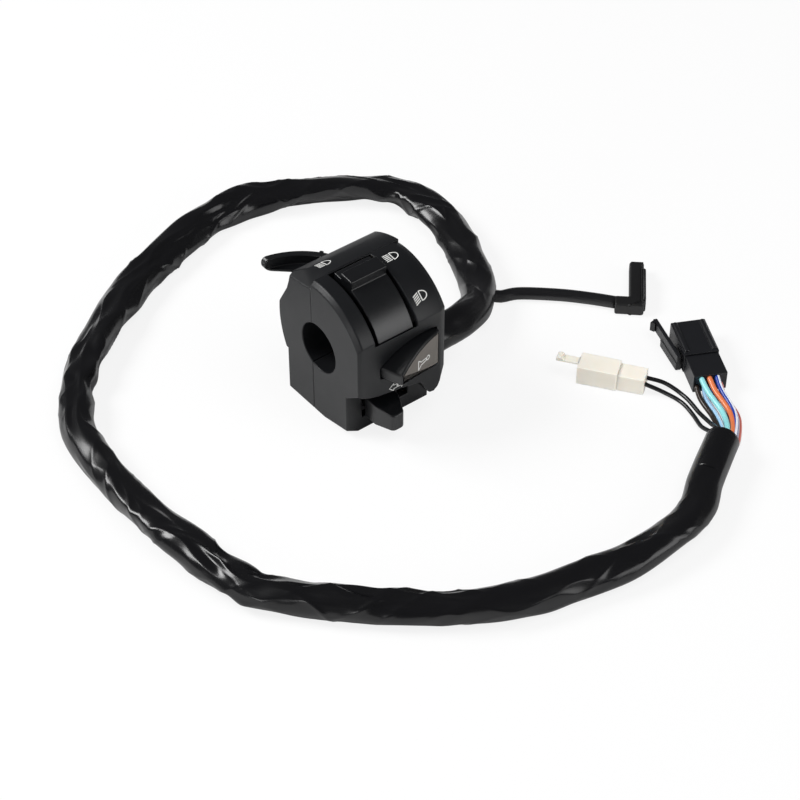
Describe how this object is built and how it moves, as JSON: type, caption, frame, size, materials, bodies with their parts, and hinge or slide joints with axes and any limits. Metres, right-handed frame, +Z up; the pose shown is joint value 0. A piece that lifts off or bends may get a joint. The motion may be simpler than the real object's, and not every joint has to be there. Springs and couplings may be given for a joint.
{
  "type": "handlebar switch cluster",
  "caption": "Left handlebar switch cluster in a split case with dimmer rocker, horn button, turn knob, passing trigger and sleeved wiring harness with plugs.",
  "frame": {"origin": "centre of the handlebar bore at the grip end of the case", "axes": "+X along the bar from the grip end inboard, +Y forward, away from the rider, +Z up"},
  "size_m": [0.2645, 0.287, 0.0702],
  "materials": {
    "case_plastic": "fine moulded texture",
    "button_plastic": "satin moulded",
    "horn_face": "satin",
    "steel": "zinc plated",
    "spring_steel": "drawn wire",
    "brass": "stamped",
    "board": "laminate",
    "contact_block": "moulded",
    "slider_nylon": "moulded",
    "sleeve_pvc": "glossy vinyl",
    "boot_rubber": "satin",
    "white_nylon": "moulded",
    "black_nylon": "moulded",
    "wire_black": "vinyl",
    "wire_brown": "vinyl",
    "wire_light_blue": "vinyl",
    "wire_orange": "vinyl",
    "wire_dark_blue": "vinyl",
    "wire_blue": "vinyl",
    "wire_aqua": "vinyl",
    "wire_white": "vinyl"
  },
  "bodies": {
    "case": {"rear_case": "case_plastic", "front_case": "case_plastic", "case_screws": "steel", "dimmer_pin": "steel", "dimmer_board": "board", "dimmer_contacts": "brass", "horn_spring": "spring_steel", "horn_contact_block": "contact_block", "horn_fixed_contacts": "brass", "turn_board": "board", "turn_terminals": "brass", "trigger_screw": "steel", "trigger_spring": "spring_steel", "trigger_contact_block": "contact_block", "trigger_contacts": "brass", "outlet_grommet": "sleeve_pvc", "inner_loom": "sleeve_pvc", "harness_sleeve": "sleeve_pvc", "clutch_lead": "sleeve_pvc", "clutch_boot": "boot_rubber", "clutch_terminals": "brass", "white_plug": "white_nylon", "white_plug_holder": "white_nylon", "white_plug_terminals": "brass", "white_plug_wire_1": "wire_black", "white_plug_wire_2": "wire_black", "black_plug": "black_nylon", "black_plug_holder": "black_nylon", "black_plug_terminals": "brass", "wire_brown": "wire_brown", "wire_light_blue": "wire_light_blue", "wire_orange": "wire_orange", "wire_dark_blue": "wire_dark_blue", "wire_blue": "wire_blue", "wire_aqua": "wire_aqua", "wire_white": "wire_white"},
    "dimmer": {"dimmer_rocker": "button_plastic", "dimmer_detent_ball": "steel", "dimmer_detent_spring": "spring_steel"},
    "horn": {"horn_button": "button_plastic", "horn_face_pad": "horn_face", "horn_moving_contact": "brass"},
    "turn": {"turn_slider": "slider_nylon", "turn_detent_ball": "steel", "turn_detent_spring": "spring_steel", "turn_moving_contact": "brass", "knob_spring": "spring_steel"},
    "cancel": {"turn_knob": "button_plastic"},
    "trigger": {"pass_trigger": "button_plastic"}
  },
  "joints": [
    {"name": "dimmer_swing", "type": "hinge", "parent": "case", "child": "dimmer", "pos_m": [0.019, -0.0109, 0.02138], "axis": [-1, 0, 0], "range_deg": [0, 10]},
    {"name": "horn_press", "type": "slide", "parent": "case", "child": "horn", "axis": [-0.342, 0.9397, 0], "range_m": [0, 0.0025], "stiffness_N_per_m": 200, "springref_m": -0.002, "deforming": ["horn_spring"]},
    {"name": "turn_slide", "type": "slide", "parent": "case", "child": "turn", "axis": [1, 0, 0], "range_m": [0, 0.01]},
    {"name": "cancel_push", "type": "slide", "parent": "turn", "child": "cancel", "axis": [0, 1, 0], "range_m": [0, 0.002], "stiffness_N_per_m": 200, "springref_m": -0.002, "deforming": ["knob_spring"]},
    {"name": "trigger_pull", "type": "hinge", "parent": "case", "child": "trigger", "pos_m": [0.0195, 0.0175, 0.02], "axis": [0, 0, 1], "range_deg": [0, 8], "stiffness_Nm_per_rad": 0.02, "springref_deg": -5.73, "deforming": ["trigger_spring"]}
  ]
}
